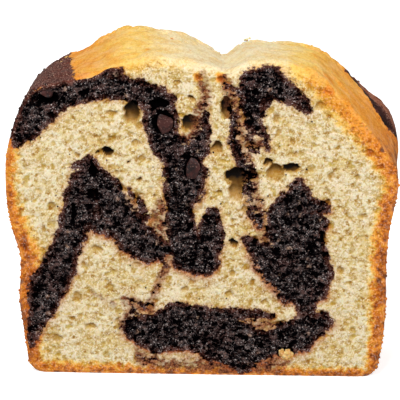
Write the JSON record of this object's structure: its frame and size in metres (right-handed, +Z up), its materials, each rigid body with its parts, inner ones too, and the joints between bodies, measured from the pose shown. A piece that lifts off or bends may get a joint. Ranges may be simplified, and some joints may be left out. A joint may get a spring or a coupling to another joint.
{
  "type": "marble loaf cake slice",
  "caption": "Thick slice of marble loaf cake standing on its base: domed split crown, browned crust, pale crumb with dark cocoa swirls.",
  "frame": {"origin": "middle of the slice's flat foot, on the surface that it stands on", "axes": "+X across the loaf, +Y along the loaf from the front cut face to the back one, +Z up"},
  "size_m": [0.1012, 0.028, 0.0879],
  "materials": {
    "sponge": "open, matt crumb, pale yellow with near-black cocoa swirls and small pores",
    "crust": "thin baked skin, satin, from pale straw on the crown to orange brown at the walls and foot",
    "chocolate": "dark chocolate chunks, smooth and slightly glossy"
  },
  "bodies": {
    "root": {"cake_slice": "sponge"}
  },
  "joints": []
}
